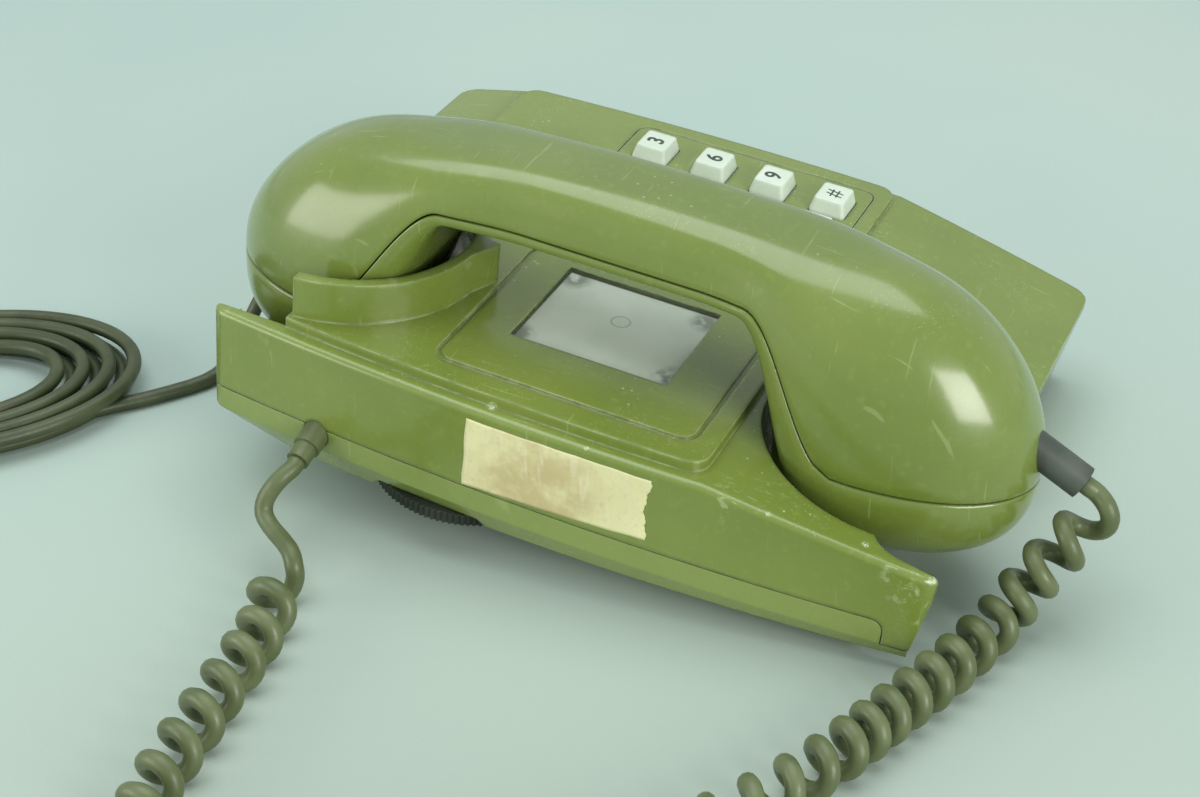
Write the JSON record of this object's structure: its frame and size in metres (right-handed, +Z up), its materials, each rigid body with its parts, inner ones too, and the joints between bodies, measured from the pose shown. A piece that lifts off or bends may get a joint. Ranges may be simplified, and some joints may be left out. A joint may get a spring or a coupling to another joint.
{
  "type": "push-button desk telephone",
  "caption": "Wedge-shaped desk telephone with a lift-off handset, sprung number keys, a volume wheel, a curly handset cord and a coiled line cord.",
  "frame": {"origin": "on the table, under the middle of the telephone's box without its cords", "axes": "+X to the user's right, +Y to the back, +Z up"},
  "size_m": [0.2852, 0.3601, 0.0943],
  "materials": {
    "housing": "glossy olive moulding with fine scratches",
    "base": "olive moulding, slightly duller",
    "keys": "cream moulded caps with dark printed digits",
    "black_plastic": "near-black moulding",
    "clear": "clear cover",
    "card": "grey-white card",
    "mat": "silicone sheet",
    "board": "green circuit board",
    "steel": "plain steel",
    "rubber": "dark grey rubber",
    "cord": "dark olive-grey cord jacket",
    "plug": "pale translucent plug"
  },
  "bodies": {
    "body": {"upper_housing": "housing", "base_shell": "base", "keypad_plate": "housing", "card_window": "clear", "index_card": "card", "key_mat": "mat", "keypad_board": "board", "board_posts": "base", "main_board": "board", "ringer": "black_plastic", "hook_switch": "black_plastic", "wheel_axle": "steel", "volume_control": "steel", "feet": "rubber", "base_screws": "steel", "board_screws": "steel", "body_boot": "rubber", "line_gland": "rubber", "curly_cord": "cord", "line_cord": "cord", "line_cord_hank": "cord", "line_plug": "plug"},
    "handset": {"handset_upper": "housing", "handset_lower": "housing", "ear_capsule": "steel", "mouth_capsule": "steel", "handset_weight": "steel", "handset_boot": "rubber"},
    "hook": {"hook_plunger": "black_plastic"},
    "wheel": {"volume_wheel": "black_plastic"},
    "key_1": {"key_1": "keys"},
    "key_2": {"key_2": "keys"},
    "key_3": {"key_3": "keys"},
    "key_4": {"key_4": "keys"},
    "key_5": {"key_5": "keys"},
    "key_6": {"key_6": "keys"},
    "key_7": {"key_7": "keys"},
    "key_8": {"key_8": "keys"},
    "key_9": {"key_9": "keys"},
    "key_star": {"key_star": "keys"},
    "key_0": {"key_0": "keys"},
    "key_hash": {"key_hash": "keys"}
  },
  "joints": [
    {"name": "handset_lift", "type": "slide", "parent": "body", "child": "handset", "axis": [0, -0.1045, 0.9945], "range_m": [0, 0.09]},
    {"name": "hook_rise", "type": "slide", "parent": "body", "child": "hook", "axis": [0, -0.1045, 0.9945], "range_m": [0, 0.0036]},
    {"name": "volume_turn", "type": "hinge", "parent": "body", "child": "wheel", "pos_m": [-0.05025, 0.03479, 0.01314], "axis": [0, -0.1045, 0.9945], "range_deg": [-135, 135]},
    {"name": "key_1_press", "type": "slide", "parent": "body", "child": "key_1", "axis": [0, 0.1045, -0.9945], "range_m": [0, 0.0025], "stiffness_N_per_m": 200, "springref_m": -0.0005},
    {"name": "key_2_press", "type": "slide", "parent": "body", "child": "key_2", "axis": [0, 0.1045, -0.9945], "range_m": [0, 0.0025], "stiffness_N_per_m": 200, "springref_m": -0.0005},
    {"name": "key_3_press", "type": "slide", "parent": "body", "child": "key_3", "axis": [0, 0.1045, -0.9945], "range_m": [0, 0.0025], "stiffness_N_per_m": 200, "springref_m": -0.0005},
    {"name": "key_4_press", "type": "slide", "parent": "body", "child": "key_4", "axis": [0, 0.1045, -0.9945], "range_m": [0, 0.0025], "stiffness_N_per_m": 200, "springref_m": -0.0005},
    {"name": "key_5_press", "type": "slide", "parent": "body", "child": "key_5", "axis": [0, 0.1045, -0.9945], "range_m": [0, 0.0025], "stiffness_N_per_m": 200, "springref_m": -0.0005},
    {"name": "key_6_press", "type": "slide", "parent": "body", "child": "key_6", "axis": [0, 0.1045, -0.9945], "range_m": [0, 0.0025], "stiffness_N_per_m": 200, "springref_m": -0.0005},
    {"name": "key_7_press", "type": "slide", "parent": "body", "child": "key_7", "axis": [0, 0.1045, -0.9945], "range_m": [0, 0.0025], "stiffness_N_per_m": 200, "springref_m": -0.0005},
    {"name": "key_8_press", "type": "slide", "parent": "body", "child": "key_8", "axis": [0, 0.1045, -0.9945], "range_m": [0, 0.0025], "stiffness_N_per_m": 200, "springref_m": -0.0005},
    {"name": "key_9_press", "type": "slide", "parent": "body", "child": "key_9", "axis": [0, 0.1045, -0.9945], "range_m": [0, 0.0025], "stiffness_N_per_m": 200, "springref_m": -0.0005},
    {"name": "key_star_press", "type": "slide", "parent": "body", "child": "key_star", "axis": [0, 0.1045, -0.9945], "range_m": [0, 0.0025], "stiffness_N_per_m": 200, "springref_m": -0.0005},
    {"name": "key_0_press", "type": "slide", "parent": "body", "child": "key_0", "axis": [0, 0.1045, -0.9945], "range_m": [0, 0.0025], "stiffness_N_per_m": 200, "springref_m": -0.0005},
    {"name": "key_hash_press", "type": "slide", "parent": "body", "child": "key_hash", "axis": [0, 0.1045, -0.9945], "range_m": [0, 0.0025], "stiffness_N_per_m": 200, "springref_m": -0.0005}
  ],
  "couplings": [
    {"joint": "hook_rise", "follows": "handset_lift", "ratio": 0.04}
  ]
}
